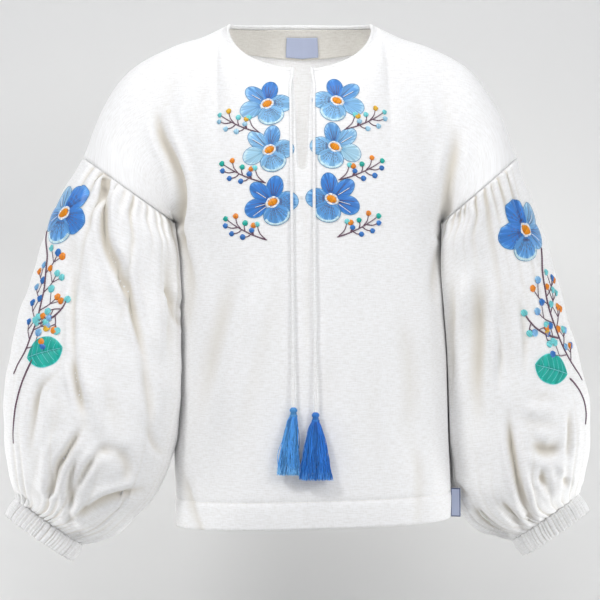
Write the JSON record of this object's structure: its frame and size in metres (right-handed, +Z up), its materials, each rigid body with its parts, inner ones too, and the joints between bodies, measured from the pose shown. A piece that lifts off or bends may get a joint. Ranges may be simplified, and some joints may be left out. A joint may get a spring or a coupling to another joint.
{
  "type": "embroidered folk blouse",
  "caption": "Off-white linen folk blouse with full gathered sleeves, ruched cuffs, a tied neck slit with tassels and blue floral embroidery.",
  "frame": {"origin": "middle of the neck, level with the top of the two neck points, where the wearer's neck and shoulders hold the blouse up", "axes": "+Z up, the front of the blouse faces -Y, +X to the viewer's right when looking at the front"},
  "size_m": [0.5561, 0.2105, 0.512],
  "materials": {
    "linen": "matt slubbed linen",
    "facing": "matt linen",
    "label": "woven tape",
    "floss": "satin thread"
  },
  "bodies": {
    "root": {"front": "linen", "back": "linen", "sleeve_left": "linen", "sleeve_right": "linen", "cuff_left": "linen", "cuff_right": "linen", "neck_binding": "linen", "back_neck_facing": "facing", "tie_left": "linen", "tie_right": "linen", "tassel_left": "floss", "tassel_right": "floss", "neck_label": "label", "side_label": "label"}
  },
  "joints": []
}
